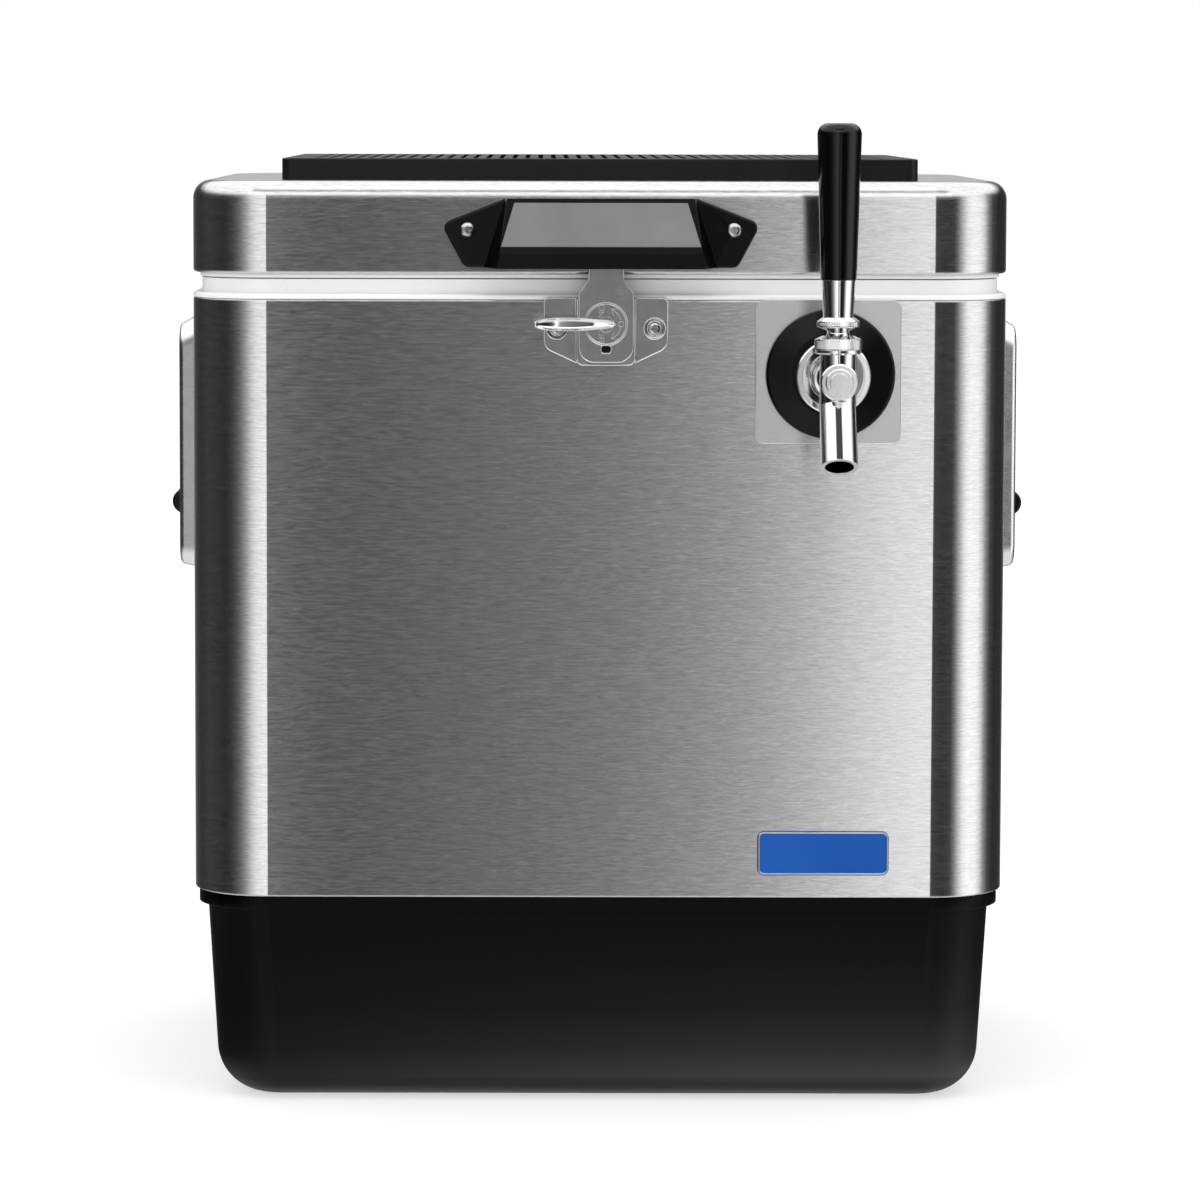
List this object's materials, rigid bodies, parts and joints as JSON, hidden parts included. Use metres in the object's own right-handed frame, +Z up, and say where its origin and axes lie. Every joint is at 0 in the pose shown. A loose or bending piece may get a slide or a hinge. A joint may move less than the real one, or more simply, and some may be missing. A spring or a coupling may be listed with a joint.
{
  "type": "jockey box beer cooler",
  "caption": "Insulated steel-clad cooler with a hinged lid, front latch, side carrying handles, top drip tray and a lever tap fed through an inner cooling coil.",
  "frame": {"origin": "middle of the underside that rests on the ground", "axes": "+Z up, -Y out of the front with the tap, +X to the right as seen from the front"},
  "size_m": [0.4998, 0.4483, 0.5548],
  "materials": {
    "tub_black": "matte",
    "grip_black": "satin",
    "tray_black": "matte",
    "wrap_steel": "satin",
    "plate_steel": "matte",
    "pressed_steel": "satin",
    "bright_steel": "polished",
    "fitting_steel": "satin",
    "coil_steel": "satin",
    "screw_steel": "polished",
    "liner_white": "satin",
    "foam": "matte",
    "seal_rubber": "matte",
    "handle_black": "gloss",
    "badge_blue": "gloss"
  },
  "bodies": {
    "cooler": {"base_tub": "tub_black", "body_wrap": "wrap_steel", "body_insulation": "foam", "liner": "liner_white", "badge_plate": "badge_blue", "drain_spout": "grip_black", "drain_nut": "grip_black", "handle_pan_left": "pressed_steel", "handle_pan_right": "pressed_steel", "handle_rivets": "screw_steel", "catch_plate": "pressed_steel", "catch_screws": "screw_steel", "faucet_plate": "plate_steel", "shank_flange": "grip_black", "shank": "fitting_steel", "shank_lock_nut": "fitting_steel", "coupling_nut": "bright_steel", "faucet_body": "bright_steel", "faucet_front_cap": "bright_steel", "faucet_bonnet": "bright_steel", "beer_coil": "coil_steel", "outlet_tube": "coil_steel", "outlet_nut": "fitting_steel", "inlet_bulkhead": "fitting_steel", "inlet_lock_nut": "fitting_steel", "inlet_tube": "coil_steel", "inlet_nut": "fitting_steel", "hinge_body_leaf_left": "pressed_steel", "hinge_body_leaf_right": "pressed_steel", "hinge_pin_left": "fitting_steel", "hinge_pin_right": "fitting_steel", "hinge_body_screws": "screw_steel"},
    "lid": {"lid_pan": "wrap_steel", "lid_liner": "liner_white", "lid_foam": "foam", "lid_seal": "seal_rubber", "lid_grip": "grip_black", "grip_screws": "screw_steel", "drip_tray": "tray_black", "hasp_bracket": "pressed_steel", "hasp_pin": "fitting_steel", "hinge_lid_leaf_left": "pressed_steel", "hinge_lid_leaf_right": "pressed_steel", "hinge_lid_screws": "screw_steel"},
    "grille": {"drip_grille": "tray_black"},
    "hasp": {"hasp_strap": "pressed_steel"},
    "thumb_lever": {"latch_lever": "bright_steel", "latch_cam": "fitting_steel"},
    "tap": {"tap_lever": "bright_steel", "lever_collar": "bright_steel", "handle_ferrule": "bright_steel", "tap_handle": "handle_black"},
    "valve": {"valve_shaft": "fitting_steel", "seat_washer": "seal_rubber"},
    "left_handle": {"bail_left": "fitting_steel", "bail_grip_left": "grip_black"},
    "right_handle": {"bail_right": "fitting_steel", "bail_grip_right": "grip_black"},
    "drain_stopper": {"drain_cap": "grip_black"}
  },
  "joints": [
    {"name": "lid_hinge", "type": "hinge", "parent": "cooler", "child": "lid", "pos_m": [0, 0.1715, 0.4649], "axis": [-1, 0, 0], "range_deg": [0, 100]},
    {"name": "grille_lift", "type": "slide", "parent": "lid", "child": "grille", "axis": [0, 0, 1], "range_m": [0, 0.04]},
    {"name": "hasp_swing", "type": "hinge", "parent": "lid", "child": "hasp", "pos_m": [0.003, -0.171, 0.4826], "axis": [-1, 0, 0], "range_deg": [0, 40]},
    {"name": "latch_turn", "type": "hinge", "parent": "hasp", "child": "thumb_lever", "pos_m": [0.003, -0.175, 0.443], "axis": [0, -1, 0], "range_deg": [0, 90]},
    {"name": "tap_pull", "type": "hinge", "parent": "cooler", "child": "tap", "pos_m": [0.1282, -0.235, 0.4395], "axis": [1, 0, 0], "range_deg": [0, 20]},
    {"name": "valve_slide", "type": "slide", "parent": "cooler", "child": "valve", "axis": [0, 1, 0], "range_m": [0, 0.0095]},
    {"name": "left_handle_swing", "type": "hinge", "parent": "cooler", "child": "left_handle", "pos_m": [-0.2401, 0, 0.3835], "axis": [0, 1, 0], "range_deg": [0, 95]},
    {"name": "right_handle_swing", "type": "hinge", "parent": "cooler", "child": "right_handle", "pos_m": [0.2401, 0, 0.3835], "axis": [0, -1, 0], "range_deg": [0, 95]},
    {"name": "drain_cap_pull", "type": "slide", "parent": "cooler", "child": "drain_stopper", "axis": [0, 1, 0], "range_m": [0, 0.025]}
  ],
  "couplings": [
    {"joint": "valve_slide", "follows": "tap_pull", "m_per_rad": 0.024005}
  ]
}
